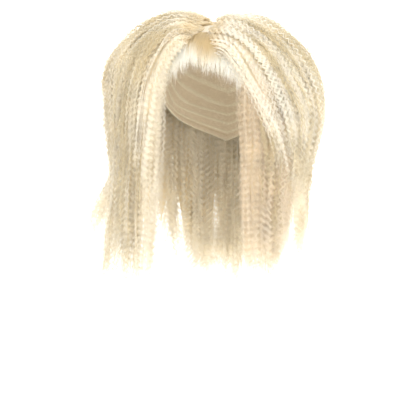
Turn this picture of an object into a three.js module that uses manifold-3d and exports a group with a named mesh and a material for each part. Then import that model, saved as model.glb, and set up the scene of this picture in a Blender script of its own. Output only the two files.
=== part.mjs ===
// Crimped blonde wig with a centre parting: a thin fitted cap that carries wefts of long hair.
// Millimetres, +Z up. The wearer looks along -Y and the wearer's left is +X.
// The origin is the centre of the head in the plane of the cap's size band, just above the ears.
import * as THREE from "three";
import { mergeVertices } from "three/addons/utils/BufferGeometryUtils.js";
import Module from "manifold-3d";

const wasm = await Module();
wasm.setup();

// Head that the cap fits, measured inside the cap.
const headWidth = 154;
const headLength = 192;
const crownHeight = 107;
// Cap shell, with a hem turned in all round its rim.
const capWall = 1.5;
const hemWall = 2.6;
const hemDepth = 9;
const napeDepth = 56;
const napeTaper = 0.12;
// Outline of the hair, from the head's axis and the size band.
const sideVolume = 150;
const frontVolume = 108;
const backVolume = 145;
const crownVolume = 130;
const hairDrop = 272;
// Middle of the widest section of one lock, in each family of locks.
const crownLock = { width: 66, thickness: 27 };
const fringeLock = { width: 36, thickness: 9 };
const frontLock = { width: 40, thickness: 26 };
const sideLock = { width: 62, thickness: 38 };
const backLock = { width: 62, thickness: 34 };
// Air left between a lock's root and the cap, and between neighbouring sections of hair.
const seatGap = 0.3;
const lockGap = 0.6;
// How far the cut sections may be smoothed.
const trimTolerance = 0.22;

// Facets.
const capSteps = 28;
const capRings = 7;
const lockSides = 6;
const lockRings = 8;
// How far the section of a lock keeps to its neighbour's turn rather than facing the head.
const steadiness = 0.7;

const up = new THREE.Vector3(0, 0, 1);
const degrees = THREE.MathUtils.degToRad;

// Rim of the cap round the head: azimuth in degrees from the face, and height as a share of the crown
// above the size band or of the nape below it.
const RIM = [
  { azimuth: 0, height: 0.6 },
  { azimuth: 35, height: 0.5 },
  { azimuth: 62, height: 0.1 },
  { azimuth: 78, height: -0.2 },
  { azimuth: 98, height: 0.02 },
  { azimuth: 128, height: -0.45 },
  { azimuth: 180, height: -1 },
];

// How the section of a lock swells and tapers from its root, at 0, to its tip, at 1.
const SWELL = [
  { along: 0, width: 0.5, thickness: 0.36 },
  { along: 0.14, width: 0.78, thickness: 0.7 },
  { along: 0.34, width: 1, thickness: 1 },
  { along: 0.7, width: 1, thickness: 0.94 },
  { along: 0.9, width: 0.74, thickness: 0.66 },
  { along: 1, width: 0.26, thickness: 0.24 },
];

// Uneven ends of neighbouring locks, as a share of the drop.
const RAGGED = [0, -0.035, 0.02, -0.015, 0.03, -0.045, 0.01];

// Guides of the families of locks, for the wearer's left side; the right side mirrors them.
// seat: [azimuth, height] of the root on the cap, the height as a share of the crown.
// crest, bulge, fall and tip: [azimuth, reach, height]. Reach goes from 0 on the head to 1 at the
// hair's outline. Height is a share of the crown volume above the size band, or of the drop below it.
// right: what differs on the wearer's right, where the hair lies out over the shoulder.
const CROWN = [
  {
    seat: [3, 0.8],
    crest: [34, 0.42, 0.62],
    bulge: [50, 0.54, 0.32],
    fall: [64, 0.76, -0.14],
    tip: [70, 0.78, -0.44],
    right: {
      crest: [28, 0.44, 0.68],
      bulge: [41, 0.56, 0.34],
      fall: [47, 0.72, -0.14],
      tip: [49, 0.8, -0.44],
    },
  },
  {
    seat: [10, 0.999],
    crest: [80, 0.32, 0.79],
    bulge: [87, 0.64, 0.42],
    fall: [89, 0.9, -0.05],
    tip: [90, 0.64, -0.34],
    right: { crest: [80, 0.45, 0.84], bulge: [87, 0.82, 0.42], tip: [90, 0.84, -0.36] },
  },
  {
    seat: [178, 0.84],
    crest: [152, 0.58, 0.78],
    bulge: [136, 0.86, 0.32],
    fall: [136, 0.88, -0.16],
    tip: [137, 0.78, -0.48],
    right: { crest: [152, 0.58, 0.83] },
  },
];
const CROWN_BACK = [
  {
    seat: [168, 0.8],
    crest: [158, 0.66, 0.72],
    bulge: [158, 0.88, 0.22],
    fall: [159, 0.9, -0.2],
    tip: [160, 0.84, -0.52],
  },
  {
    seat: [180, 0.8],
    crest: [180, 0.68, 0.74],
    bulge: [180, 0.88, 0.24],
    fall: [180, 0.9, -0.2],
    tip: [180, 0.84, -0.56],
  },
  {
    seat: [192, 0.8],
    crest: [202, 0.66, 0.72],
    bulge: [202, 0.88, 0.22],
    fall: [201, 0.9, -0.2],
    tip: [200, 0.84, -0.52],
  },
];
const FRINGE = [
  {
    seat: [-48, 0.74],
    crest: [-44, 0.3, 0.5],
    bulge: [-40, 0.36, 0.34],
    fall: [-38, 0.4, 0.2],
    tip: [-37, 0.44, 0.06],
  },
  {
    seat: [-2, 0.86],
    crest: [-3, 0.3, 0.62],
    bulge: [-4, 0.4, 0.48],
    fall: [-4, 0.44, 0.36],
    tip: [-4, 0.44, 0.25],
  },
  {
    seat: [48, 0.74],
    crest: [43, 0.3, 0.5],
    bulge: [39, 0.36, 0.34],
    fall: [38, 0.4, 0.18],
    tip: [38, 0.44, 0.02],
  },
];
const FRONT = [
  {
    seat: [50, 0.4],
    crest: [47, 0.34, 0.16],
    bulge: [47, 0.52, -0.18],
    fall: [46, 0.62, -0.52],
    tip: [46, 0.66, -0.86],
    right: { bulge: [46, 0.52, -0.18], fall: [44, 0.72, -0.52], tip: [44, 0.9, -0.92] },
  },
  {
    seat: [62, 0.42],
    crest: [58, 0.42, 0.2],
    bulge: [56, 0.62, -0.2],
    fall: [54, 0.7, -0.54],
    tip: [55, 0.74, -0.9],
    right: { bulge: [56, 0.68, -0.2], fall: [53, 0.84, -0.54], tip: [52, 1, -0.94] },
  },
  {
    seat: [74, 0.42],
    crest: [71, 0.5, 0.22],
    bulge: [70, 0.66, -0.18],
    fall: [66, 0.66, -0.54],
    tip: [64, 0.68, -0.8],
    right: { bulge: [70, 0.76, -0.18], fall: [68, 0.9, -0.5], tip: [66, 1.18, -0.84] },
  },
];
const SIDE = [
  {
    seat: [86, 0.3],
    crest: [86, 0.44, 0.2],
    bulge: [86, 0.56, -0.1],
    fall: [84, 0.54, -0.42],
    tip: [80, 0.6, -0.72],
    right: { bulge: [86, 0.68, -0.1], fall: [87, 0.76, -0.38], tip: [84, 1.5, -0.66] },
  },
  {
    seat: [106, 0.25],
    crest: [106, 0.44, 0.18],
    bulge: [106, 0.58, -0.1],
    fall: [105, 0.58, -0.44],
    tip: [102, 0.6, -0.78],
    right: { bulge: [106, 0.66, -0.1], fall: [107, 0.72, -0.4], tip: [105, 1.2, -0.7] },
  },
  {
    seat: [126, 0.2],
    crest: [127, 0.42, 0.16],
    bulge: [128, 0.6, -0.12],
    fall: [128, 0.64, -0.46],
    tip: [126, 0.58, -0.84],
    right: { tip: [128, 0.76, -0.8] },
  },
];
const BACK = [
  {
    seat: [143, 0.04],
    crest: [145, 0.34, -0.02],
    bulge: [146, 0.6, -0.2],
    fall: [147, 0.66, -0.55],
    tip: [148, 0.6, -0.9],
  },
  {
    seat: [180, 0.02],
    crest: [180, 0.34, -0.02],
    bulge: [180, 0.6, -0.2],
    fall: [180, 0.64, -0.56],
    tip: [180, 0.58, -0.96],
  },
  {
    seat: [217, 0.04],
    crest: [215, 0.34, -0.02],
    bulge: [214, 0.6, -0.2],
    fall: [213, 0.66, -0.55],
    tip: [212, 0.6, -0.9],
  },
];

const blondeMaterial = new THREE.MeshStandardMaterial({ color: 0xe9d9b4, roughness: 0.55, metalness: 0 });
const paleMaterial = new THREE.MeshStandardMaterial({ color: 0xf3e8cb, roughness: 0.4, metalness: 0 });
const capMaterial = new THREE.MeshStandardMaterial({ color: 0xd8c49a, roughness: 0.9, metalness: 0 });

// Radius of the ellipse with half axes side and depth at an azimuth from the face.
function ellipseRadius(azimuth, side, depth) {
  return 1 / Math.hypot(Math.sin(azimuth) / side, Math.cos(azimuth) / depth);
}

// Radius of the head, grown by offset, at an azimuth and a height.
function headRadius(azimuth, z, offset) {
  const round = z > 0 ? Math.sqrt(Math.max(0, 1 - (z / (crownHeight + offset)) ** 2)) : 1;
  const taper = z < 0 ? 1 - napeTaper * Math.min(1, -z / napeDepth) ** 2 : 1;
  return round * taper * ellipseRadius(azimuth, headWidth / 2 + offset, headLength / 2 + offset);
}

function hairRadius(azimuth) {
  return ellipseRadius(azimuth, sideVolume, Math.cos(azimuth) > 0 ? frontVolume : backVolume);
}

function around(azimuth, radius, z) {
  return new THREE.Vector3(radius * Math.sin(azimuth), -radius * Math.cos(azimuth), z);
}

// A smooth curve through evenly spaced points, with straight runs beyond both ends.
function along(points, share) {
  const place = Math.min(Math.max(share, 0), 1) * (points.length - 1);
  const i = Math.min(Math.floor(place), points.length - 2);
  const before = i > 0 ? points[i - 1] : points[0].clone().multiplyScalar(2).sub(points[1]);
  const after =
    i + 2 < points.length ? points[i + 2] : points[i + 1].clone().multiplyScalar(2).sub(points[i]);
  const t = place - i;
  const weights = [
    -0.5 * t + t ** 2 - 0.5 * t ** 3,
    1 - 2.5 * t ** 2 + 1.5 * t ** 3,
    0.5 * t + 2 * t ** 2 - 1.5 * t ** 3,
    -0.5 * t ** 2 + 0.5 * t ** 3,
  ];
  return [before, points[i], points[i + 1], after].reduce(
    (sum, point, k) => sum.addScaledVector(point, weights[k]),
    new THREE.Vector3(),
  );
}

// A column of a table with its own places, read between rows by a straight line.
function read(table, place, at, column) {
  const last = Math.max(1, table.findIndex((row) => row[place] >= at));
  const [low, high] = [table[last - 1], table[last]];
  const share = (at - low[place]) / (high[place] - low[place]);
  return THREE.MathUtils.lerp(low[column], high[column], share);
}

// A solid with one outline per ring; each end is closed by a fan round the ring's own middle.
function ringSolid(rings) {
  const sides = rings[0].length;
  const middles = [rings[0], rings[rings.length - 1]].map((ring) =>
    ring.reduce((sum, point) => sum.add(point), new THREE.Vector3()).divideScalar(sides),
  );
  const points = [...rings.flat(), ...middles];
  const index = [];
  for (let s = 0; s < sides; s++) {
    const next = (s + 1) % sides;
    for (let r = 0; r < rings.length - 1; r++) {
      const [a, b, c, d] = [r * sides + s, r * sides + next, (r + 1) * sides + next, (r + 1) * sides + s];
      index.push(a, b, c, a, c, d);
    }
    const top = (rings.length - 1) * sides;
    index.push(next, s, points.length - 2, top + s, top + next, points.length - 1);
  }
  return new THREE.BufferGeometry().setFromPoints(points).setIndex(index);
}

function solidOf(geometry) {
  const merged = mergeVertices(geometry, 1e-4);
  const vertProperties = merged.attributes.position.array;
  const triVerts = new Uint32Array(merged.index.array);
  return new wasm.Manifold(new wasm.Mesh({ numProp: 3, vertProperties, triVerts }));
}

function geometryOf(solid) {
  const { vertProperties, triVerts } = solid.getMesh();
  const geometry = new THREE.BufferGeometry();
  geometry.setAttribute("position", new THREE.BufferAttribute(vertProperties, 3));
  geometry.setIndex(new THREE.BufferAttribute(triVerts, 1));
  geometry.computeVertexNormals();
  return geometry;
}

const joined = (solids) => solids.reduce((sum, solid) => sum.add(solid));

const largestBody = (solid) => solid.decompose().reduce((a, b) => (b.volume() > a.volume() ? b : a));

// Height on the cap at a share of the way from the crown down to the rim.
function capHeight(azimuth, share, offset) {
  const fromFace = THREE.MathUtils.radToDeg(Math.acos(Math.cos(azimuth)));
  const rim = read(RIM, "azimuth", fromFace, "height");
  const turn = rim > 0 ? Math.acos(rim) : Math.PI / 2 - rim;
  const angle = turn * share;
  return angle < Math.PI / 2
    ? (crownHeight + offset) * Math.cos(angle)
    : (Math.PI / 2 - angle) * napeDepth;
}

// One face of the cap as rings from near the crown to the rim, with the hem as the last two.
function capFace(offset, hemOffset) {
  const hemShare = hemDepth / (crownHeight * (Math.PI / 2));
  const shares = Array.from({ length: capRings }, (_, i) => ((i + 1) / capRings) * (1 - 2 * hemShare));
  const rows = shares.map((share) => [share, offset]);
  rows.push([1 - hemShare, hemOffset], [1, hemOffset]);
  return rows.map(([share, grown]) =>
    Array.from({ length: capSteps }, (_, i) => {
      const azimuth = (i / capSteps) * 2 * Math.PI;
      const z = capHeight(azimuth, share, grown);
      return around(azimuth, headRadius(azimuth, z, grown), z);
    }),
  );
}

// The cap's shell: the outer face from the crown down, then the inner face back up from the rim.
function capGeometry() {
  const outer = capFace(capWall, capWall);
  const inner = capFace(0, capWall - hemWall).reverse();
  return ringSolid([...outer, ...inner].reverse());
}

// The head and neck, grown by offset: what the hair is kept clear of, and not a piece itself.
function headForm(offset) {
  const top = crownHeight + offset;
  const heights = [-hairDrop * 1.2, -napeDepth, -napeDepth / 2, 0];
  const domeAngles = [18, 34, 48, 60, 70, 79, 85];
  heights.push(...domeAngles.map((angle) => top * Math.sin(degrees(angle))));
  const ring = (z) =>
    Array.from({ length: capSteps }, (_, i) => {
      const azimuth = (i / capSteps) * 2 * Math.PI;
      return around(azimuth, headRadius(azimuth, z, offset), z);
    });
  return solidOf(ringSolid(heights.map(ring)));
}

function guidePoint([azimuth, reach, height], side) {
  const angle = degrees(azimuth) * side;
  const z = height * (height > 0 ? crownVolume : hairDrop);
  const head = headRadius(angle, z, capWall);
  return around(angle, head + reach * (hairRadius(angle) - head), z);
}

// Root of a lock: its section's middle lies on the cap, raised by lift.
function seatPoint([azimuth, height], side, lift) {
  const angle = degrees(azimuth) * side;
  const z = height * (crownHeight + capWall + lift);
  return around(angle, headRadius(angle, z, capWall + lift), z);
}

// The points of one lock's guide, at a share of the way through its family.
function lockGuide(table, lock, share, side, raggedness) {
  const rows = table.map((row) => (side < 0 ? { ...row, ...row.right } : row));
  const columns = ["crest", "bulge", "fall", "tip"].map((column) =>
    along(
      rows.map((row) => guidePoint(row[column], side)),
      share,
    ),
  );
  columns[columns.length - 1].z += raggedness * hairDrop;
  const lift = (lock.thickness / 2) * SWELL[0].thickness;
  const seats = rows.map((row) => seatPoint(row.seat, side, lift));
  return [along(seats, share), ...columns];
}

// One lock: an oval section that swells and tapers along its guide, its flat side facing the head.
// It is laid out from the tip up, so that near the root each section can follow the one before it.
function lockSolid(guide, lock, growth) {
  const rings = [];
  const across = new THREE.Vector3();
  for (let r = lockRings - 1; r >= 0; r--) {
    const share = r / (lockRings - 1);
    const at = along(guide, share);
    const run = along(guide, share + 0.01).sub(along(guide, share - 0.01)).normalize();
    const hub = new THREE.Vector3(0, 0, Math.min(at.z, crownHeight * 0.3));
    const outward = at.clone().sub(hub).normalize();
    across.multiplyScalar(steadiness).add(outward.cross(run)).projectOnPlane(run).normalize();
    const out = new THREE.Vector3().crossVectors(run, across);
    if (r === 0) at.addScaledVector(run, -growth);
    if (r === lockRings - 1) at.addScaledVector(run, growth);
    const halfWidth = (lock.width / 2) * read(SWELL, "along", share, "width") + growth;
    const halfThickness = (lock.thickness / 2) * read(SWELL, "along", share, "thickness") + growth;
    rings.unshift(
      Array.from({ length: lockSides }, (_, s) => {
        const turn = (s / lockSides) * 2 * Math.PI;
        return at
          .clone()
          .addScaledVector(across, halfWidth * Math.cos(turn))
          .addScaledVector(out, halfThickness * Math.sin(turn));
      }),
    );
  }
  return solidOf(ringSolid(rings));
}

// The sections of hair from the outside in: each is cut back from the ones before it. A section is a run
// of neighbouring locks of one family, from one share of the family to another.
const SECTIONS = [
  { name: "fringe", family: FRINGE, lock: fringeLock, count: 6, ragged: 0.4, material: paleMaterial },
  { name: "crown_left", family: CROWN, lock: crownLock, count: 6 },
  { name: "crown_right", family: CROWN, lock: crownLock, count: 6, side: -1 },
  { name: "crown_back", family: CROWN_BACK, lock: crownLock, count: 4 },
  { name: "front_left", family: FRONT, lock: frontLock, count: 4 },
  { name: "front_right", family: FRONT, lock: frontLock, count: 4, side: -1 },
  { name: "side_left", family: SIDE, lock: sideLock, count: 3 },
  { name: "side_right", family: SIDE, lock: sideLock, count: 3, side: -1 },
  { name: "back_centre", family: BACK, lock: backLock, count: 2, from: 0.4, to: 0.6 },
  { name: "back_left", family: BACK, lock: backLock, count: 2, from: 0, to: 0.22 },
  { name: "back_right", family: BACK, lock: backLock, count: 2, from: 0.78, to: 1 },
];

// The guides of a section's locks. Their ends stay ragged across sections, counted from the first lock.
function sectionGuides({ family, lock, count, from = 0, to = 1, side = 1, ragged = 1 }, first) {
  return Array.from({ length: count }, (_, i) => {
    const share = from + ((to - from) * i) / (count - 1);
    return lockGuide(family, lock, share, side, ragged * RAGGED[(first + i) % RAGGED.length]);
  });
}

const wig = new THREE.Group();
const capMesh = new THREE.Mesh(capGeometry(), capMaterial);
capMesh.name = "wig_cap";
wig.add(capMesh);

const seat = capWall + seatGap;
const keptClear = [headForm(seat), solidOf(ringSolid(capFace(seat, seat).reverse()))];
let locksLaid = 0;
for (const section of SECTIONS) {
  const guides = sectionGuides(section, locksLaid);
  locksLaid += section.count;
  const [body, grown] = [0, lockGap].map((growth) =>
    joined(guides.map((guide) => lockSolid(guide, section.lock, growth))),
  );
  const cut = largestBody(body.subtract(joined(keptClear)).simplify(trimTolerance));
  const mesh = new THREE.Mesh(geometryOf(cut), section.material ?? blondeMaterial);
  mesh.name = section.name;
  wig.add(mesh);
  keptClear.push(grown, body);
}

export default wig;
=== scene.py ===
"""Looks of the crimped wig. Metres, +Z up; the wearer looks along -Y and the wearer's left is +X."""
import math

import bpy
import numpy as np
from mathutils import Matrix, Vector


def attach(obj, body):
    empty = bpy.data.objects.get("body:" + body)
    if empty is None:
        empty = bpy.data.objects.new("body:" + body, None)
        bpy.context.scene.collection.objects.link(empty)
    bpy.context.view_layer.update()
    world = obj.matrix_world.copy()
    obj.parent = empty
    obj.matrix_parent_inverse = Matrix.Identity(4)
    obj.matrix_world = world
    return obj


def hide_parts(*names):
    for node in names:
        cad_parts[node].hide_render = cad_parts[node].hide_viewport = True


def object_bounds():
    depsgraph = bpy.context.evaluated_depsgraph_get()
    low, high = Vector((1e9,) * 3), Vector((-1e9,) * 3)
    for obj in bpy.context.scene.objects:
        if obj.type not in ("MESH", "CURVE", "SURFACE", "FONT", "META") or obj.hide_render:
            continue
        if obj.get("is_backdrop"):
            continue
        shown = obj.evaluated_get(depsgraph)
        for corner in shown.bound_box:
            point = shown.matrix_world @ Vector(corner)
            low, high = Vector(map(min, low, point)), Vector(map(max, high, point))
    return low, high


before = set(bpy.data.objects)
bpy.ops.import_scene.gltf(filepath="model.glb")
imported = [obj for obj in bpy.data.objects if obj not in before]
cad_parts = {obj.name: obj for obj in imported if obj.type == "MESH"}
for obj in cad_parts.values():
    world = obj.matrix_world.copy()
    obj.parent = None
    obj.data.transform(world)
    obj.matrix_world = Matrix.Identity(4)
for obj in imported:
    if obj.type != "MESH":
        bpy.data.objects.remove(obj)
cad_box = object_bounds()
random = np.random.default_rng(11)

# Head and cap
HEAD_WIDTH = 0.154
HEAD_LENGTH = 0.192
CROWN_HEIGHT = 0.107
CAP_WALL = 0.0015
NAPE_DEPTH = 0.056
NAPE_TAPER = 0.12
HEM_DEPTH = 0.009
HEM_WALL = 0.0026
WEFT_ROWS = 11
WEFT_HEIGHT = 0.0004

# Inside of the cap, as shares of the hem's depth: step from the net to the hem, and margin without weft ribs
HEM_STEP = 0.15
WEFT_MARGIN = 0.3

# Mesh of the cap: points round it, rows on each face, and the share of the way to the rim where they start
CAP_COLUMNS = 112
OUTER_ROWS = 30
INNER_ROWS = 130
CAP_TOP = 0.01

# Outline of the hair, from the head's axis and the size band
SIDE_VOLUME = 0.150
FRONT_VOLUME = 0.108
BACK_VOLUME = 0.145
CROWN_VOLUME = 0.130
HAIR_DROP = 0.272

# Rim of the cap: azimuth in degrees from the face, height as a share of the crown or of the nape
RIM = np.array([(0, 0.6), (35, 0.5), (62, 0.1), (78, -0.2), (98, 0.02), (128, -0.45), (180, -1)])

# How a lock swells and tapers: share of its length, width, thickness
SWELL = np.array([
    (0, 0.5, 0.36),
    (0.14, 0.78, 0.7),
    (0.34, 1, 1),
    (0.7, 1, 0.94),
    (0.9, 0.74, 0.66),
    (1, 0.26, 0.24),
])
# How far the end of each lock in turn lies above or below its guide's, as a share of the drop
RAGGED = (0, -0.035, 0.02, -0.015, 0.03, -0.045, 0.01)

# Guides of the families of locks for the wearer's left side: seat (azimuth, height on the cap), then
# crest, bulge, fall and tip (azimuth, reach from the head to the hair's outline, height).
# A table named _RIGHT holds what differs on the wearer's right, by row and column.
CROWN = (
    ((3, 0.8), (34, 0.42, 0.62), (50, 0.54, 0.32), (64, 0.76, -0.14), (70, 0.78, -0.44)),
    ((10, 0.999), (80, 0.32, 0.79), (87, 0.64, 0.42), (89, 0.9, -0.05), (90, 0.64, -0.34)),
    ((178, 0.84), (152, 0.58, 0.78), (136, 0.86, 0.32), (136, 0.88, -0.16), (137, 0.78, -0.48)),
)
CROWN_RIGHT = {
    (0, 1): (28, 0.44, 0.68), (0, 2): (41, 0.56, 0.34), (0, 3): (47, 0.72, -0.14), (0, 4): (49, 0.8, -0.44),
    (1, 1): (80, 0.45, 0.84), (1, 2): (87, 0.82, 0.42), (1, 4): (90, 0.84, -0.36),
    (2, 1): (152, 0.58, 0.83),
}
CROWN_BACK = (
    ((168, 0.8), (158, 0.66, 0.72), (158, 0.88, 0.22), (159, 0.9, -0.2), (160, 0.84, -0.52)),
    ((180, 0.8), (180, 0.68, 0.74), (180, 0.88, 0.24), (180, 0.9, -0.2), (180, 0.84, -0.56)),
    ((192, 0.8), (202, 0.66, 0.72), (202, 0.88, 0.22), (201, 0.9, -0.2), (200, 0.84, -0.52)),
)
FRINGE = (
    ((-48, 0.74), (-44, 0.3, 0.5), (-40, 0.36, 0.34), (-38, 0.4, 0.2), (-37, 0.44, 0.06)),
    ((-2, 0.86), (-3, 0.3, 0.62), (-4, 0.4, 0.48), (-4, 0.44, 0.36), (-4, 0.44, 0.25)),
    ((48, 0.74), (43, 0.3, 0.5), (39, 0.36, 0.34), (38, 0.4, 0.18), (38, 0.44, 0.02)),
)
FRONT = (
    ((50, 0.4), (47, 0.34, 0.16), (47, 0.52, -0.18), (46, 0.62, -0.52), (46, 0.66, -0.86)),
    ((62, 0.42), (58, 0.42, 0.2), (56, 0.62, -0.2), (54, 0.7, -0.54), (55, 0.74, -0.9)),
    ((74, 0.42), (71, 0.5, 0.22), (70, 0.66, -0.18), (66, 0.66, -0.54), (64, 0.68, -0.8)),
)
FRONT_RIGHT = {
    (0, 2): (46, 0.52, -0.18), (0, 3): (44, 0.72, -0.52), (0, 4): (44, 0.9, -0.92),
    (1, 2): (56, 0.68, -0.2), (1, 3): (53, 0.84, -0.54), (1, 4): (52, 1, -0.94),
    (2, 2): (70, 0.76, -0.18), (2, 3): (68, 0.9, -0.5), (2, 4): (66, 1.18, -0.84),
}
SIDE = (
    ((86, 0.3), (86, 0.44, 0.2), (86, 0.56, -0.1), (84, 0.54, -0.42), (80, 0.6, -0.72)),
    ((106, 0.25), (106, 0.44, 0.18), (106, 0.58, -0.1), (105, 0.58, -0.44), (102, 0.6, -0.78)),
    ((126, 0.2), (127, 0.42, 0.16), (128, 0.6, -0.12), (128, 0.64, -0.46), (126, 0.58, -0.84)),
)
SIDE_RIGHT = {
    (0, 2): (86, 0.68, -0.1), (0, 3): (87, 0.76, -0.38), (0, 4): (84, 1.5, -0.66),
    (1, 2): (106, 0.66, -0.1), (1, 3): (107, 0.72, -0.4), (1, 4): (102, 1.36, -0.74),
    (2, 4): (128, 0.76, -0.8),
}
BACK = (
    ((143, 0.04), (145, 0.34, -0.02), (146, 0.6, -0.2), (147, 0.66, -0.55), (148, 0.6, -0.9)),
    ((180, 0.02), (180, 0.34, -0.02), (180, 0.6, -0.2), (180, 0.64, -0.56), (180, 0.58, -0.96)),
    ((217, 0.04), (215, 0.34, -0.02), (214, 0.6, -0.2), (213, 0.66, -0.55), (212, 0.6, -0.9)),
)

# Sections: node, family, what differs on the right, locks, first and last share, side
SECTIONS = (
    ("fringe", FRINGE, {}, 6, 0, 1, 1),
    ("crown_left", CROWN, {}, 6, 0, 1, 1),
    ("crown_right", CROWN, CROWN_RIGHT, 6, 0, 1, -1),
    ("crown_back", CROWN_BACK, {}, 4, 0, 1, 1),
    ("front_left", FRONT, {}, 4, 0, 1, 1),
    ("front_right", FRONT, FRONT_RIGHT, 4, 0, 1, -1),
    ("side_left", SIDE, {}, 3, 0, 1, 1),
    ("side_right", SIDE, SIDE_RIGHT, 3, 0, 1, -1),
    ("back_centre", BACK, {}, 2, 0.4, 0.6, 1),
    ("back_left", BACK, {}, 2, 0, 0.22, 1),
    ("back_right", BACK, {}, 2, 0.78, 1, 1),
)

# Styles of the sections: width and thickness of a lock, tresses on the outside, round each edge and on the
# inside, strands in a tress, filling ribbons under the tresses, groups of loose frizz, and radians of the
# crimp's shift across the section
STYLE_COLUMNS = ("width", "thickness", "outer", "edge", "inner", "strands", "fill", "frizz", "waves")
STYLE_ROWS = {
    "crown": (0.066, 0.027, 84, 12, 8, 7, 72, 140, 9),
    "fringe": (0.036, 0.009, 64, 4, 10, 18, 0, 0, 0),
    "front": (0.040, 0.026, 24, 12, 8, 7, 28, 40, 4),
    "side": (0.062, 0.038, 34, 12, 9, 7, 36, 48, 5),
    "back": (0.062, 0.034, 18, 10, 9, 7, 20, 20, 4),
}
STYLES = {kind: dict(zip(STYLE_COLUMNS, row)) for kind, row in STYLE_ROWS.items()}

# Frames along a lock: steps, height of the hub that they face away from as a share of the crown, and shares
# of the last direction and of the new one where they turn
LOCK_STEPS = 90
HUB_HEIGHT = 0.3
LAST_SHARE = 0.9
NEW_SHARE = 0.4

# Cores of the locks: rings and sides, sizes as shares of the lock's, gap to the cap, and shares of the lock's
# length over which they start and taper, and at which they end
CORE_RINGS = 28
CORE_SIDES = 14
CORE_WIDTH = 0.74
CORE_THICKNESS = 0.48
CORE_GAP = 0.0008
CORE_START = 0.05
CORE_TAPER = 0.4
CORE_END = 0.86
SILKY_CORE_END = 0.6

# Crimp of the hair: length and depth of a wave, the level of a section off which its arc is read, as a share
# of the half thickness, half waves by which it shifts across a section, the share of a strand's length over
# which it sets in, and radians per metre of the slow change in the length of its waves
WAVE_LENGTH = 0.0092
WAVE_DEPTH = 0.0021
CRIMP_LEVEL = 0.9
CRIMP_SHIFT = 3.2
CRIMP_START = 0.08
STRETCH_RATE = 80

# Ribbons that stand for strands: widths, gap to the cap, fewest points, points over which they narrow
# towards their ends, and the least share of their width there
STRAND_WIDTH = 0.0013
FILL_WIDTH = 0.0030
FRIZZ_WIDTH = 0.0006
STRAND_GAP = 0.0012
FEWEST_POINTS = 4
NARROWING_POINTS = 5
NARROWEST = 0.2

# Tresses: size, angle over which their strands fan out and by which these swing, share of their width at the
# root, and share of the length over which they open from there
TRESS_WIDTH = 0.0085
TRESS_THICKNESS = 0.0022
TRESS_FAN = 0.9
SWING_ANGLE = 0.25
GATHERED_WIDTH = 0.5
GATHERED_LENGTH = 0.1

# Strands that fly away from their tress: their share, and how far they rise
FLYAWAY_SHARE = 0.12
FLYAWAY_RISE = (0.001, 0.007)

# Tips of the tresses: share of the length where they start, how much they loosen, how much deeper their
# crimp gets, and how far they hang below the solids' ends, as a share of the drop
TIP_START = 0.6
LOOSE_TIPS = 1.7
TIP_CRIMP = 0.8
TIP_LENGTH = -0.043

# Uneven lengths, as shares of the drop: of crimped and silky tresses, of a wisp of the fringe, and how much
# of the locks' ragged ends silky hair keeps
UNEVEN = 0.024
SILKY_UNEVEN = 0.008
WISP_LENGTH = (-0.07, -0.03)
SILKY_RAGGED = 0.4

# Slow drift of a tress along its section and out of it, share of the length over which it sets in, and the
# share of it that straight hair keeps
DRIFT = 0.0018
QUICK_DRIFT = 0.0010
OUTWARD_DRIFT = 0.0010
DRIFT_START = 0.25
STRAIGHT_DRIFT = 0.15

# Silky hair: length of a step, half sizes of a tress and of a wisp, strands in a wisp, tresses from one wisp
# to the next, and place of the first one
SILKY_STEP = 0.0042
SILKY_HALF_WIDTH = 0.0080
SILKY_HALF_THICKNESS = 0.0010
WISP_HALF_WIDTH = 0.0020
WISP_STRANDS = 5
WISP_EVERY = 7
FIRST_WISP = 3

# Reach of the fringe's dark roots, painted shade where it comes out under the crown's hair, as shares of
# its length: at its sides, what the parting adds, and the parting's place and spread as shares of the way
# through the fringe
ROOT_SHADE_REACH = 0.48
PARTING_SHADE_REACH = 0.38
PARTING_PLACE = 0.60
PARTING_SPREAD = 0.18

# Frizz: strands in a group, half width of a wisp of strays and of other frizz, how much broader a stray is,
# how far other frizz is lifted, and groups of which one lies close and the others stray
FRIZZ_STRANDS = 8
STRAY_HALF_WIDTH = 0.005
FRIZZ_HALF_WIDTH = 0.007
STRAY_BREADTH = 1.8
FRIZZ_LIFT = 0.002
CLOSE_EVERY = 3

# Level of the filling ribbons, as a share of the half thickness, share of the length at which the places
# through a section are spaced, and places measured there
FILL_LEVEL = 0.74
SPACING_AT = 0.45
SPACING_PLACES = 25

# Streaks of darker and paler hair across a section: strength, and radians of their two patterns
STREAK_SHARE = 0.10
STREAK_TURNS = (46, 19)

# Ends of a strand: how sharply its dark root, which is painted shade, ends, and the share of the tip's tone
# that it takes on
ROOT_SHADE_EDGE = 2.4
TIP_SHARE = 0.5

# Tones of the hair and of the cap, as linear colours
BODY_TONE = np.array([0.925, 0.875, 0.765])
PALE_TONE = np.array([0.97, 0.96, 0.91])
# Painted shade at the hair's roots, which lie under other hair and under the parting
ROOT_SHADE_TONE = np.array([0.76, 0.64, 0.40])
TIP_TONE = np.array([0.93, 0.89, 0.79])
# Painted shade deep inside the locks, on their cores
CORE_SHADE_TONE = np.array([0.93, 0.85, 0.68])
# Painted shade on stray frizz, which the light all round would otherwise leave near white
STRAY_SHADE_TONE = np.array([0.70, 0.62, 0.45])
NET_TONE = np.array([0.86, 0.76, 0.60])
WEFT_TONE = np.array([0.94, 0.88, 0.72])
BRIGHTEST = 0.95

# What multiplies the tones of the sections that differ from the body of the hair; front_left's darker,
# warmer tone is painted shade near the face, under the crown
SECTION_TONES_AND_SHADE = {
    "crown_left": (1.02, 1.035, 1.08),
    "front_left": (0.91, 0.87, 0.83),
    "front_right": (0.95, 0.95, 0.95),
    "side_right": (0.97, 0.97, 0.97),
}

# Share of the light that hair lets through
TRANSLUCENCY = 0.58

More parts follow.
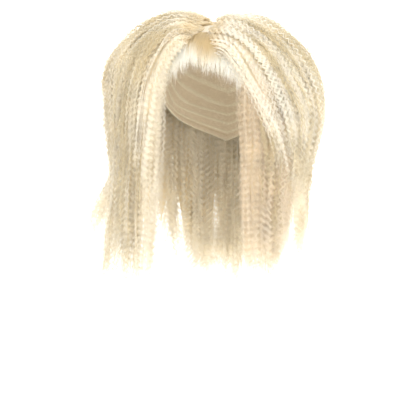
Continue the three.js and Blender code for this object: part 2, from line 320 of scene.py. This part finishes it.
# Studio: strength of the world's light, lamps (name, place, size, power) and the point that they face
WORLD_STRENGTH = 1.25
LAMPS = (
    ("key", (1.7, -1.7, 0.4), 3.0, 48),
    ("fill", (-1.5, -1.8, 0.3), 3.0, 12),
    ("rim", (0.2, 1.7, 1.1), 0.9, 12),
)
LAMP_TARGET = (0, 0, -0.07)

# Stage: half its width, which is also the height of its top, the floor's height, and how bright floor and
# backdrop are
STAGE_REACH = 8
FLOOR_HEIGHT = -0.62
FLOOR_LEVEL = 0.6
BACKDROP_LEVEL = 1.0

# Camera: azimuth towards the wearer's left in degrees, distance, place across the view and height, pitch in
# radians, and sensor and lens in millimetres
VIEW_AZIMUTH = 14
VIEW_DISTANCE = 2.09
VIEW_ASIDE = -0.019
VIEW_HEIGHT = -0.060
VIEW_PITCH = -0.0385
SENSOR_WIDTH = 36
LENS_LENGTH = 131.5

# Range of a random phase, which is about a full turn in radians
ANY_PHASE = 6.3


def ellipse_radius(azimuth, side, depth):
    """Distance from the centre of an ellipse to its edge."""
    return 1 / np.hypot(np.sin(azimuth) / side, np.cos(azimuth) / depth)


def head_radius(azimuth, z, offset):
    """Distance from the head's axis to a surface that lies at offset outside the head."""
    dome = np.sqrt(np.clip(1 - (z / (CROWN_HEIGHT + offset)) ** 2, 0, 1))
    taper = 1 - NAPE_TAPER * np.clip(-z / NAPE_DEPTH, 0, 1) ** 2
    widest = ellipse_radius(azimuth, HEAD_WIDTH / 2 + offset, HEAD_LENGTH / 2 + offset)
    return np.where(z > 0, dome, taper) * widest


def around(azimuth, radius, z):
    """Points at azimuths from the face, distances from the axis and a height."""
    return np.stack([radius * np.sin(azimuth), -radius * np.cos(azimuth), z + 0 * azimuth], -1)


def guide_point(place, side):
    """Point of a guide between the head and the hair's outline."""
    azimuth, reach, height = place
    angle = math.radians(azimuth) * side
    z = height * (CROWN_VOLUME if height > 0 else HAIR_DROP)
    head = head_radius(angle, z, CAP_WALL)
    outline = ellipse_radius(angle, SIDE_VOLUME, FRONT_VOLUME if math.cos(angle) > 0 else BACK_VOLUME)
    return around(angle, head + reach * (outline - head), z)


def seat_point(place, side, lift):
    """Point where a guide starts, at lift above the cap."""
    azimuth, height = place
    angle = math.radians(azimuth) * side
    z = height * (CROWN_HEIGHT + CAP_WALL + lift)
    return around(angle, head_radius(angle, z, CAP_WALL + lift), z)


def spline(points, shares):
    """Smooth curve through evenly spaced points, read at shares from 0 to 1."""
    ends = np.vstack([2 * points[0] - points[1], points, 2 * points[-1] - points[-2]])
    place = np.clip(shares, 0, 1) * (len(points) - 1)
    i = np.minimum(place.astype(int), len(points) - 2)
    t = (place - i)[:, None]
    weights = (
        -0.5 * t + t**2 - 0.5 * t**3,
        1 - 2.5 * t**2 + 1.5 * t**3,
        0.5 * t + 2 * t**2 - 1.5 * t**3,
        -0.5 * t**2 + 0.5 * t**3,
    )
    return sum(ends[i + k] * weight for k, weight in enumerate(weights))


def lock_guide(family, changes, share, side, lift, ragged):
    """Five points of a lock's guide, at a share of the way through its family."""
    columns = []
    for column in range(5):
        places = [changes.get((row, column), family[row][column]) for row in range(len(family))]
        if column == 0:
            points = [seat_point(place, side, lift) for place in places]
        else:
            points = [guide_point(place, side) for place in places]
        columns.append(spline(np.array(points), np.array([share]))[0])
    columns[-1][2] += ragged * HAIR_DROP
    return np.array(columns)


def unit(vectors):
    return vectors / np.maximum(np.linalg.norm(vectors, axis=-1, keepdims=True), 1e-9)


def lock_frames(guide, steps=LOCK_STEPS):
    """Places along a lock with the directions across it and out of it."""
    shares = np.linspace(0, 1, steps)
    at = spline(guide, shares)
    run = unit(np.gradient(at, axis=0))
    hub = np.zeros_like(at)
    hub[:, 2] = np.minimum(at[:, 2], CROWN_HEIGHT * HUB_HEIGHT)
    turned = np.cross(unit(at - hub), run)
    across = np.zeros_like(at)
    last = np.zeros(3)
    for i in range(steps - 1, -1, -1):
        mixed = LAST_SHARE * last + NEW_SHARE * turned[i]
        mixed -= run[i] * mixed.dot(run[i])
        last = across[i] = mixed / np.linalg.norm(mixed)
    return shares, at, across, np.cross(run, across)


def half_sizes(style, shares):
    """Half the width and half the thickness of a lock, at shares of its length."""
    width = np.interp(shares, SWELL[:, 0], SWELL[:, 1]) * style["width"] / 2
    thickness = np.interp(shares, SWELL[:, 0], SWELL[:, 2]) * style["thickness"] / 2
    return width, thickness


def clear_of_head(points, gap):
    """Moves points that lie inside the head or neck out to gap from the cap."""
    x, y, z = points[..., 0], points[..., 1], points[..., 2]
    offset = CAP_WALL + gap
    azimuth = np.arctan2(x, -y)
    side, depth, top = HEAD_WIDTH / 2 + offset, HEAD_LENGTH / 2 + offset, CROWN_HEIGHT + offset
    inside = np.sqrt((x / side) ** 2 + (y / depth) ** 2 + (np.maximum(z, 0) / top) ** 2)
    dome = points / np.minimum(np.maximum(inside, 0.05), 1)[..., None]
    radius = np.hypot(x, y)
    wanted = np.maximum(radius, head_radius(azimuth, np.minimum(z, 0), offset))
    column = np.stack([x * wanted / np.maximum(radius, 1e-6), y * wanted / np.maximum(radius, 1e-6), z], -1)
    return np.where((z > 0)[..., None], dome, column)


class MeshParts:
    """Vertices, quads and tones of the pieces that make one object. Slot 0 is shaded flat, slot 1 smooth."""

    def __init__(self):
        self.points, self.quads, self.tones, self.slots = [], [], [], []
        self.total = 0

    def add(self, points, quads, tones, slot):
        used, places = np.unique(quads, return_inverse=True)
        self.points.append(points[used])
        self.tones.append(tones[used])
        self.quads.append(places.reshape(quads.shape) + self.total)
        self.slots.append(np.full(len(quads), slot))
        self.total += len(used)

    def build(self, name, materials):
        points, quads = np.vstack(self.points), np.vstack(self.quads)
        mesh = bpy.data.meshes.new(name)
        mesh.vertices.add(len(points))
        mesh.vertices.foreach_set("co", points.astype(np.float32).ravel())
        mesh.loops.add(quads.size)
        mesh.loops.foreach_set("vertex_index", quads.astype(np.int32).ravel())
        mesh.polygons.add(len(quads))
        mesh.polygons.foreach_set("loop_start", np.arange(0, quads.size, 4, dtype=np.int32))
        mesh.polygons.foreach_set("material_index", np.concatenate(self.slots).astype(np.int32))
        mesh.polygons.foreach_set("use_smooth", np.concatenate(self.slots).astype(bool))
        mesh.update(calc_edges=True)
        tones = mesh.color_attributes.new("tone", "FLOAT_COLOR", "POINT")
        rgba = np.concatenate([np.vstack(self.tones), np.ones((len(points), 1))], 1)
        tones.data.foreach_set("color", rgba.astype(np.float32).ravel())
        piece = bpy.data.objects.new(name, mesh)
        bpy.context.scene.collection.objects.link(piece)
        for material in materials:
            mesh.materials.append(material)
        return piece


def ring_quads(rings, sides):
    """Quads between rings of points, each of which closes on itself."""
    start = np.arange(rings - 1)[:, None] * sides
    place = np.arange(sides)[None, :]
    after = (place + 1) % sides
    corners = (start + place, start + after, start + sides + after, start + sides + place)
    return np.stack(corners, -1).reshape(-1, 4)


def mixed_tone(a, b, share):
    return a + (b - a) * share[..., None]


def add_core(parts, guide, style, end):
    """The lock's inside: a closed form, narrower than the strands that lie on it, down to the share end. Its
    darker, warmer tone is painted shade.
    """
    shares, at, across, out = lock_frames(guide, CORE_RINGS)
    turns = np.linspace(0, 2 * math.pi, CORE_SIDES, endpoint=False)
    ends = np.clip(shares / CORE_START, 0, 1) * np.clip((end - shares) / CORE_TAPER, 0, 1) ** 0.6
    width, thick = half_sizes(style, shares)
    width, thick = width * CORE_WIDTH * ends, thick * CORE_THICKNESS * ends
    rings = (
        at[:, None]
        + across[:, None] * (width[:, None] * np.cos(turns))[..., None]
        + out[:, None] * (thick[:, None] * np.sin(turns))[..., None]
    )
    points = clear_of_head(rings, CORE_GAP).reshape(-1, 3)
    # The core takes the painted shade tone
    parts.add(points, ring_quads(len(at), len(turns)), np.tile(CORE_SHADE_TONE, (len(points), 1)), 1)


def strand_group(number, **changes):
    """Values of a group of strands. Those that run along the group are arrays; the rest are shared."""
    strands = dict(
        angle=np.zeros(number),
        twist=np.zeros(number),
        half_wave=WAVE_LENGTH / 2 * random.normal(1, 0.002),
        phase=np.zeros(number),
        stretch=random.uniform(0.0001, 0.0004),
        stretch_phase=random.uniform(0, ANY_PHASE),
        swings=random.uniform(6, 18, number),
        swing_phase=random.uniform(0, ANY_PHASE, number),
        half_width=0.0,
        half_thickness=0.0,
        wander=random.normal(0, 0.0010, number),
        rise=random.normal(0, 0.0004, number),
        lifting=0.1,
        strength=random.uniform(0.85, 1.15, number),
        lean=0.4,
        width=STRAND_WIDTH * random.uniform(0.6, 1.15, number),
        first=np.zeros(number),
        last=np.ones(number),
        bright=random.uniform(0.96, 1.04, number),
        # Strength and reach of the painted shade at the roots
        rooted=0.5,
        root_length=0.12,
    )
    strands.update(changes)
    return strands


def near_tip(share):
    """How far into its loose tip a strand is, from 0 to 1."""
    return np.clip((share - TIP_START) / (1 - TIP_START), 0, 1)


def strand_paths(course, strands, arc_length):
    """Points of strands at lengths along a course, and the directions in which their ribbons lie flat."""
    share = arc_length / course["arc"][-1]

    def read(values):
        return np.stack([np.interp(arc_length, course["arc"], values[:, k]) for k in range(3)], -1)

    where, side, up = read(course["centre"]), read(course["side"]), read(course["up"])
    swing = np.sin(share * strands["swings"][:, None] + strands["swing_phase"][:, None])
    gathered = GATHERED_WIDTH + (1 - GATHERED_WIDTH) * np.clip(share / GATHERED_LENGTH, 0, 1)
    loose = 1 + LOOSE_TIPS * near_tip(share) ** 1.5
    angle = strands["angle"][:, None] + SWING_ANGLE * swing
    aside = np.sin(angle) * strands["half_width"] * gathered * loose
    aside = aside + strands["wander"][:, None] * loose * swing
    above = np.cos(angle) * strands["half_thickness"] * gathered
    lifted = np.clip((share - strands["first"][:, None]) / strands["lifting"], 0, 1)
    above = above + strands["rise"][:, None] * lifted
    sign = np.where(np.arange(share.shape[1]) % 2 == 0, 1.0, -1.0)[None, :]
    strength = strands["strength"][:, None] * np.clip(share / CRIMP_START, 0, 1)
    strength = strength * (1 + TIP_CRIMP * near_tip(share)) * sign
    aside = aside + strength * WAVE_DEPTH * math.cos(strands["lean"])
    above = above + strength * WAVE_DEPTH * math.sin(strands["lean"])
    path = clear_of_head(where + side * aside[..., None] + up * above[..., None], STRAND_GAP)
    facing = angle + strands["twist"][:, None]
    flat = side * np.cos(facing)[..., None] - up * np.sin(facing)[..., None]
    return path, flat


def strand_tones(strands, share, tone):
    """Tones along strands: painted root shade where they start, then their own, and part of the tip's at the
    end.
    """
    # Painted shade at the roots, darkest where the strand starts
    root = strands["rooted"] * np.clip(ROOT_SHADE_EDGE * (1 - share / strands["root_length"]), 0, 1)
    colour = mixed_tone(tone * strands["bright"][:, None, None], ROOT_SHADE_TONE, root)
    return np.clip(mixed_tone(colour, TIP_TONE, TIP_SHARE * near_tip(share)), 0, BRIGHTEST)


def add_strands(parts, course, strands, tone):
    """Flat ribbons that zigzag along a course, with a pair of points at each half wave."""
    length = course["arc"][-1]
    half_wave = strands["half_wave"]
    count = int(length / half_wave)
    steps = np.arange(count)[None, :]
    s = (steps + strands["phase"][:, None] + 1) * half_wave
    s = s + strands["stretch"] * np.sin(s * STRETCH_RATE + strands["stretch_phase"])
    s = np.clip(s, 0, length * 0.9999)
    path, flat = strand_paths(course, strands, s)
    first = (strands["first"] * count).astype(int)[:, None]
    last = np.maximum((strands["last"] * count).astype(int)[:, None], first + FEWEST_POINTS)
    from_ends = np.minimum(last - 1 - steps, steps - first + 2)
    half_width = strands["width"][:, None] / 2 * np.clip(from_ends / NARROWING_POINTS, NARROWEST, 1)
    aside = flat * half_width[..., None]
    points = np.stack([path - aside, path + aside], 2).reshape(-1, 3)
    kept = (steps[:, :-1] < last - 1) & (steps[:, :-1] >= first)
    corner = (np.arange(len(first))[:, None] * count + steps[:, :-1])[kept] * 2
    quads = np.stack([corner, corner + 1, corner + 3, corner + 2], -1)
    tones = np.repeat(strand_tones(strands, s / length, tone)[:, :, None, :], 2, 2).reshape(-1, 3)
    parts.add(points, quads, tones, 0)


def slow_wave(shares, size, fewest, most):
    """A wave of random length and phase along a tress."""
    return size * np.sin(shares * random.uniform(fewest, most) + random.uniform(0, ANY_PHASE))


def tress_course(guide, style, aside, level, outward):
    """Course of a tress on a section: aside and level are shares of its half width and half thickness, and
    outward is the angle at which the tress faces, from the section's side to its outside. Its arc is read
    off one level of the section, so that the crimp of tresses that lie side by side stays in step."""
    shares, at, across, out = lock_frames(guide)
    swell, thick = half_sizes(style, shares)
    spread = np.clip(shares / DRIFT_START, 0, 1)
    wavy = STRAIGHT_DRIFT if style["waves"] == 0 else 1
    drift = slow_wave(shares, wavy * DRIFT, 5, 9)
    drift += slow_wave(shares, wavy * QUICK_DRIFT, 12, 22)
    rise = slow_wave(shares, wavy * OUTWARD_DRIFT, 6, 14)
    facing = across * math.cos(outward) + out * math.sin(outward)
    along_edge = -across * math.sin(outward) + out * math.cos(outward)
    centre = at + across * (swell * aside)[:, None] + out * (thick * level)[:, None]
    centre = centre + along_edge * (drift * spread)[:, None] + facing * (rise * spread)[:, None]
    run = unit(np.gradient(centre, axis=0))
    side = unit(np.cross(facing, run))
    shared = at + out * (thick * CRIMP_LEVEL)[:, None]
    arc = np.concatenate([[0], np.cumsum(np.linalg.norm(np.diff(shared, axis=0), axis=1))])
    return dict(centre=centre, side=side, up=np.cross(run, side), arc=arc)


def crimped_tress(style, phase, slant, lean):
    """A flat bundle of strands that share one crimp; slant shifts it from one edge to the other."""
    number = style["strands"]
    spread = np.linspace(-1, 1, number) + random.uniform(-0.15, 0.15, number)
    flyaway = random.uniform(0, 1, number) < FLYAWAY_SHARE
    return strand_group(
        number,
        angle=spread * TRESS_FAN,
        twist=random.normal(0, 0.3, number),
        rise=random.exponential(0.0005, number) + flyaway * random.uniform(*FLYAWAY_RISE, number),
        phase=(phase + slant * spread + random.normal(0, 0.11, number)) % 2,
        half_width=TRESS_WIDTH / 2 * random.uniform(0.8, 1.3),
        half_thickness=TRESS_THICKNESS / 2 * random.uniform(0.7, 1.3),
        lean=lean,
        last=random.uniform(0.86, 1.0) * random.uniform(0.92, 1.0, number),
    )


def silky_tress(style, through, wisp):
    """A thin, straight bundle, as in the fringe. Its dark roots, painted shade, reach furthest below the
    parting.
    """
    number = WISP_STRANDS if wisp else style["strands"]
    from_parting = (through - PARTING_PLACE) / PARTING_SPREAD
    return strand_group(
        number,
        angle=random.uniform(-0.7, 0.7, number),
        half_wave=SILKY_STEP,
        half_width=WISP_HALF_WIDTH if wisp else SILKY_HALF_WIDTH,
        half_thickness=SILKY_HALF_THICKNESS,
        swings=random.uniform(1, 4, number),
        wander=random.normal(0, 0.0020, number),
        strength=np.zeros(number),
        width=STRAND_WIDTH * random.uniform(0.4, 0.8, number),
        last=random.uniform(0.86, 1.0) * random.uniform(0.84, 1.0, number),
        # Painted shade at the roots, reaching furthest below the parting
        rooted=1.0,
        root_length=ROOT_SHADE_REACH + PARTING_SHADE_REACH * math.exp(-(from_parting**2)),
    )


def filling_ribbon(phase):
    """A broad crimped ribbon that closes the gaps under the tresses."""
    return strand_group(
        1,
        phase=np.array([phase % 2]),
        lean=0.8,
        width=np.array([FILL_WIDTH]),
        last=np.array([random.uniform(0.74, 0.88)]),
        bright=np.array([random.uniform(0.94, 1.0)]),
    )


def frizz_group(stray):
    """Thin strands of part of the length that lie loose over the tresses. Stray ones stand off in a wisp."""
    number = FRIZZ_STRANDS
    if stray:
        start = random.uniform(0.0, 0.84) + random.uniform(0.0, 0.08, number)
        length = random.uniform(0.12, 0.4, number)
        lift = random.uniform(0.005, 0.0125)
    else:
        start = random.uniform(0.0, 0.8, number)
        length = random.uniform(0.25, 0.6, number)
        lift = FRIZZ_LIFT
    return strand_group(
        number,
        angle=random.uniform(-1.4, 1.4, number),
        half_wave=WAVE_LENGTH / 2 * random.uniform(0.8, 1.2),
        phase=random.uniform(0, 2, number),
        swings=random.uniform(8, 26, number),
        half_width=STRAY_HALF_WIDTH if stray else FRIZZ_HALF_WIDTH,
        wander=random.normal(0, 0.0030, number),
        rise=random.uniform(0.5, 1.15, number) * lift,
        lifting=random.uniform(0.12, 0.3),
        strength=random.uniform(0.6, 1.4, number),
        lean=random.uniform(-1.2, 1.2),
        width=FRIZZ_WIDTH * random.uniform(0.6, 1.2, number) * (STRAY_BREADTH if stray else 1),
        first=start,
        last=np.minimum(1.0, start + length),
        bright=random.uniform(0.96, 1.06, number),
        # Little painted shade at the roots
        rooted=0.2,
    )


def places_round(style, onward):
    """Places of the tresses round a section: share through its locks, place across and out of the locks'
    plane as shares of their half sizes, and the angle that the tress faces."""
    outer, edge, inner = style["outer"], style["edge"], style["inner"]
    for i in range(outer):
        yield (i + random.uniform(0.0, 1.0)) / outer, 0.0, random.uniform(0.84, 1.0), math.pi / 2
    for i in range(inner):
        yield (i + random.uniform(0.1, 0.9)) / inner, 0.0, random.uniform(-0.9, -0.7), -math.pi / 2
    for end, facing in ((1.0, onward), (0.0, -onward)):
        for i in range(edge):
            turn = (i + random.uniform(0.1, 0.9)) / edge * math.pi - math.pi / 2
            reach = random.uniform(0.8, 0.98)
            outward = turn if facing > 0 else math.pi - turn
            yield end, facing * reach * math.cos(turn), reach * math.sin(turn), outward


def hair_section(name, family, changes, count, first, last, side, laid, materials):
    """One section: cores in its locks, and filling ribbons, tresses and loose frizz over them."""
    kind = name.split("_")[0]
    style = STYLES[kind]
    silky = kind == "fringe"
    parts = MeshParts()
    lift = style["thickness"] / 2 * SWELL[0][2]
    # Section tones; front_left's is darkened as painted shade near the face
    body = (PALE_TONE if silky else BODY_TONE) * SECTION_TONES_AND_SHADE.get(name, (1, 1, 1))
    ragged = np.array([RAGGED[(laid + lock) % len(RAGGED)] for lock in range(count)])
    ragged = ragged * SILKY_RAGGED if silky else ragged + TIP_LENGTH

    def guide_at(through, more=0.0):
        share = first + (last - first) * through
        step = np.interp(through * (count - 1), np.arange(count), ragged)
        return lock_guide(family, changes, share, side, lift, step + more)

    core_end = SILKY_CORE_END if silky else CORE_END
    for lock in range(count):
        add_core(parts, guide_at(lock / (count - 1)), style, core_end)
    places = np.linspace(0, 1, SPACING_PLACES)
    middles = np.array([spline(guide_at(place), np.array([SPACING_AT]))[0] for place in places])
    spacing = np.concatenate([[0], np.cumsum(np.linalg.norm(np.diff(middles, axis=0), axis=1))])
    across = lock_frames(guide_at(0))[2][LOCK_STEPS // 2]
    onward = 1 if across.dot(middles[-1] - middles[0]) > 0 else -1

    def evenly(share):
        return np.interp(share * spacing[-1], spacing, places)

    bands = random.uniform(0, ANY_PHASE, 2)
    waves = style["waves"]

    def phase_at(through):
        return CRIMP_SHIFT * math.sin(through * waves + bands[0]) + random.normal(0, 0.12)

    for i in range(style["fill"]):
        through = evenly((i + random.uniform(0.2, 0.8)) / style["fill"])
        course = tress_course(guide_at(through), style, 0.0, FILL_LEVEL, math.pi / 2)
        add_strands(parts, course, filling_ribbon(phase_at(through)), body)
    for number, (share, aside, level, outward) in enumerate(places_round(style, onward)):
        through = evenly(share)
        wisp = silky and number % WISP_EVERY == FIRST_WISP
        if wisp:
            uneven = random.uniform(*WISP_LENGTH)
        else:
            uneven = random.normal(0, SILKY_UNEVEN if silky else UNEVEN)
        course = tress_course(guide_at(through, uneven), style, aside, level, outward)
        slant = 0.5 * math.cos(through * waves + bands[0]) + random.normal(0, 0.15)
        lean = random.uniform(0.8, 1.2)
        if silky:
            group = silky_tress(style, through, wisp)
        else:
            group = crimped_tress(style, phase_at(through), slant, lean)
        fine, broad = (math.sin(through * turns + band) for turns, band in zip(STREAK_TURNS, bands))
        streak = fine * broad
        # Darker streaks lie at random and borrow the colour of the painted root shade
        other = ROOT_SHADE_TONE if streak > 0 else PALE_TONE
        tone = body + (other - body) * STREAK_SHARE * abs(streak)
        add_strands(parts, course, group, tone * random.uniform(0.985, 1.015))
    for i in range(style["frizz"]):
        through = evenly(random.uniform(0, 1))
        course = tress_course(guide_at(through), style, random.uniform(-0.4, 0.4), 1.0, math.pi / 2)
        stray = i % CLOSE_EVERY > 0
        # Stray frizz takes a tone darkened as painted shade
        add_strands(parts, course, frizz_group(stray), STRAY_SHADE_TONE if stray else body)
    piece = parts.build("hair_" + name, materials)
    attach(piece, "root")
    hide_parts(name)


def new_material(name, roughness):
    material = bpy.data.materials.new(name)
    material.use_nodes = True
    shader = material.node_tree.nodes["Principled BSDF"]
    shader.inputs["Roughness"].default_value = roughness
    return material, material.node_tree, shader


def tone_node(tree):
    """The tone that the mesh has at each of its points."""
    tone = tree.nodes.new("ShaderNodeVertexColor")
    tone.layer_name = "tone"
    return tone


def hair_material(name, roughness, gloss):
    """Fibre: the strand's own tone, with fine streaks of lighter and darker hair."""
    material, tree, shader = new_material(name, roughness)
    place = tree.nodes.new("ShaderNodeTexCoord")
    streaks = tree.nodes.new("ShaderNodeTexNoise")
    streaks.inputs["Scale"].default_value = 38
    streaks.inputs["Detail"].default_value = 3
    tree.links.new(place.outputs["Object"], streaks.inputs["Vector"])
    ramp = tree.nodes.new("ShaderNodeMapRange")
    ramp.inputs["From Min"].default_value = 0.3
    ramp.inputs["From Max"].default_value = 0.7
    ramp.inputs["To Min"].default_value = 0.94
    ramp.inputs["To Max"].default_value = 1.04
    tree.links.new(streaks.outputs["Fac"], ramp.inputs["Value"])
    scaled = tree.nodes.new("ShaderNodeVectorMath")
    scaled.operation = "SCALE"
    tree.links.new(tone_node(tree).outputs["Color"], scaled.inputs[0])
    tree.links.new(ramp.outputs["Result"], scaled.inputs["Scale"])
    tree.links.new(scaled.outputs["Vector"], shader.inputs["Base Color"])
    shader.inputs["Specular IOR Level"].default_value = gloss
    through = tree.nodes.new("ShaderNodeBsdfTranslucent")
    tree.links.new(scaled.outputs["Vector"], through.inputs["Color"])
    mixed = tree.nodes.new("ShaderNodeMixShader")
    mixed.inputs["Fac"].default_value = TRANSLUCENCY
    tree.links.new(shader.outputs["BSDF"], mixed.inputs[1])
    tree.links.new(through.outputs["BSDF"], mixed.inputs[2])
    tree.links.new(mixed.outputs["Shader"], tree.nodes["Material Output"].inputs["Surface"])
    return material


def net_material():
    """Stretch net of the cap, with rows of sewn wefts."""
    material, tree, shader = new_material("cap_net", 0.85)
    place = tree.nodes.new("ShaderNodeTexCoord")
    cells = tree.nodes.new("ShaderNodeTexVoronoi")
    cells.feature = "DISTANCE_TO_EDGE"
    cells.inputs["Scale"].default_value = 620
    tree.links.new(place.outputs["Object"], cells.inputs["Vector"])
    ramp = tree.nodes.new("ShaderNodeValToRGB")
    ramp.color_ramp.elements[0].color = (1, 1, 1, 1)
    ramp.color_ramp.elements[0].position = 0.02
    ramp.color_ramp.elements[1].color = (0.72, 0.68, 0.60, 1)
    ramp.color_ramp.elements[1].position = 0.16
    tree.links.new(cells.outputs["Distance"], ramp.inputs["Fac"])
    knit = tree.nodes.new("ShaderNodeVectorMath")
    knit.operation = "MULTIPLY"
    tree.links.new(tone_node(tree).outputs["Color"], knit.inputs[0])
    tree.links.new(ramp.outputs["Color"], knit.inputs[1])
    tree.links.new(knit.outputs["Vector"], shader.inputs["Base Color"])
    bump = tree.nodes.new("ShaderNodeBump")
    bump.inputs["Strength"].default_value = 0.4
    bump.inputs["Distance"].default_value = 0.0004
    bump.invert = True
    tree.links.new(cells.outputs["Distance"], bump.inputs["Height"])
    tree.links.new(bump.outputs["Normal"], shader.inputs["Normal"])
    return material


def cap_height(azimuth, share, offset):
    """Height on the cap at a share of the way from its top to its rim."""
    from_face = np.degrees(np.arccos(np.cos(azimuth)))
    rim = np.interp(from_face, RIM[:, 0], RIM[:, 1])
    turn = np.where(rim > 0, np.arccos(np.clip(rim, 0, 1)), math.pi / 2 - rim)
    angle = turn * share
    dome = (CROWN_HEIGHT + offset) * np.cos(angle)
    nape = (math.pi / 2 - angle) * NAPE_DEPTH
    return np.where(angle < math.pi / 2, dome, nape)


def cap_face(rows, inner):
    """Rows of points on one face of the cap; the inner face has a thicker hem and low weft ribs."""
    azimuth = np.linspace(0, 2 * math.pi, CAP_COLUMNS, endpoint=False)
    hem = HEM_DEPTH / (CROWN_HEIGHT * math.pi / 2)
    points = []
    for share in rows:
        if inner:
            turned_in = np.clip((share - 1 + (1 + HEM_STEP) * hem) / (HEM_STEP * hem), 0, 1)
            rib = WEFT_HEIGHT * max(0.0, math.cos(share * 2 * math.pi * WEFT_ROWS)) ** 6
            offset = -(HEM_WALL - CAP_WALL) * turned_in - rib * (share < 1 - (1 + WEFT_MARGIN) * hem)
        else:
            offset = CAP_WALL
        z = cap_height(azimuth, share, offset)
        points.append(around(azimuth, head_radius(azimuth, z, offset), z))
    return np.array(points)


def wig_cap(material):
    """The cap's shell: its outer face down to the rim, and from there its inner face back up."""
    outer_rows = np.linspace(CAP_TOP, 1, OUTER_ROWS)
    inner_rows = np.linspace(1, CAP_TOP, INNER_ROWS)
    points = np.concatenate([cap_face(outer_rows, False), cap_face(inner_rows, True)])
    rows = np.concatenate([outer_rows, inner_rows])
    weft = np.clip(3 * np.cos(rows * 2 * math.pi * WEFT_ROWS) - 1.2, 0, 1)
    inside = np.arange(len(rows)) >= len(outer_rows)
    tones = np.where(inside[:, None], NET_TONE + (WEFT_TONE - NET_TONE) * weft[:, None], BODY_TONE)
    tones = np.repeat(tones, CAP_COLUMNS, 0)
    parts = MeshParts()
    parts.add(points.reshape(-1, 3), ring_quads(len(points), CAP_COLUMNS), tones, 0)
    piece = parts.build("cap_shell", [material])
    piece.data.polygons.foreach_set("use_smooth", np.ones(len(piece.data.polygons), bool))
    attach(piece, "root")
    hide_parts("wig_cap")


def area_light(name, place, size, power):
    light = bpy.data.lights.new(name, "AREA")
    light.shape = "DISK"
    light.size = size
    light.energy = power
    lamp = bpy.data.objects.new(name, light)
    lamp.location = place
    lamp.rotation_euler = (Vector(LAMP_TARGET) - Vector(place)).to_track_quat("-Z", "Y").to_euler()
    bpy.context.scene.collection.objects.link(lamp)


def white_stage(name, corners, faces, level):
    """A surface that shows white and sends no light onto the hair."""
    mesh = bpy.data.meshes.new(name)
    mesh.from_pydata(corners, [], faces)
    stage = bpy.data.objects.new(name, mesh)
    material, _, shader = new_material(name + "_paint", 0.9)
    shader.inputs["Base Color"].default_value = (0.9, 0.9, 0.9, 1)
    shader.inputs["Emission Color"].default_value = (1, 1, 1, 1)
    shader.inputs["Emission Strength"].default_value = level
    mesh.materials.append(material)
    bpy.context.scene.collection.objects.link(stage)
    stage.visible_diffuse = False
    stage.visible_glossy = False
    stage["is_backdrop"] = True


def studio():
    """Soft white light from all round, with a pale floor and a backdrop."""
    scene = bpy.context.scene
    scene.view_settings.view_transform = "Standard"
    world = bpy.data.worlds.new("studio")
    world.use_nodes = True
    world.node_tree.nodes["Background"].inputs["Color"].default_value = (1, 1, 1, 1)
    world.node_tree.nodes["Background"].inputs["Strength"].default_value = WORLD_STRENGTH
    scene.world = world
    for name, place, size, power in LAMPS:
        area_light(name, place, size, power)
    corners = [
        (x * STAGE_REACH, y * STAGE_REACH, z)
        for z in (FLOOR_HEIGHT, STAGE_REACH)
        for x, y in ((-1, -1), (1, -1), (1, 1), (-1, 1))
    ]
    white_stage("floor", corners[:4], [(0, 1, 2, 3)], FLOOR_LEVEL)
    walls = [(0, 1, 5, 4), (1, 2, 6, 5), (2, 3, 7, 6), (3, 0, 4, 7), (4, 5, 6, 7)]
    white_stage("backdrop", corners, walls, BACKDROP_LEVEL)


def camera():
    """The photograph's view, from the front and a little to the wearer's left."""
    azimuth = math.radians(VIEW_AZIMUTH)
    forward = Vector((-math.sin(azimuth), math.cos(azimuth), 0))
    right = Vector((math.cos(azimuth), math.sin(azimuth), 0))
    lens = bpy.data.cameras.new("camera")
    lens.sensor_width = SENSOR_WIDTH
    lens.lens = LENS_LENGTH
    view = bpy.data.objects.new("camera", lens)
    view.location = forward * -VIEW_DISTANCE + right * VIEW_ASIDE + Vector((0, 0, VIEW_HEIGHT))
    look = forward * math.cos(VIEW_PITCH) + Vector((0, 0, math.sin(VIEW_PITCH)))
    view.rotation_euler = look.to_track_quat("-Z", "Y").to_euler()
    bpy.context.scene.collection.objects.link(view)
    bpy.context.scene.camera = view


camera()
studio()
strand_material = hair_material("blonde_strands", 0.45, 0.2)
silk_material = hair_material("silky_fringe", 0.32, 0.5)
core_material = hair_material("inner_hair", 0.7, 0.1)
wig_cap(net_material())
locks_laid = 0
for name, family, changes, count, first, last, side in SECTIONS:
    own_material = silk_material if name == "fringe" else strand_material
    hair_section(name, family, changes, count, first, last, side, locks_laid, [own_material, core_material])
    locks_laid += count

boxes = {"cad": cad_box, "visual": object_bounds()}
{key: [[float(c) for c in corner] for corner in box] for key, box in boxes.items()}
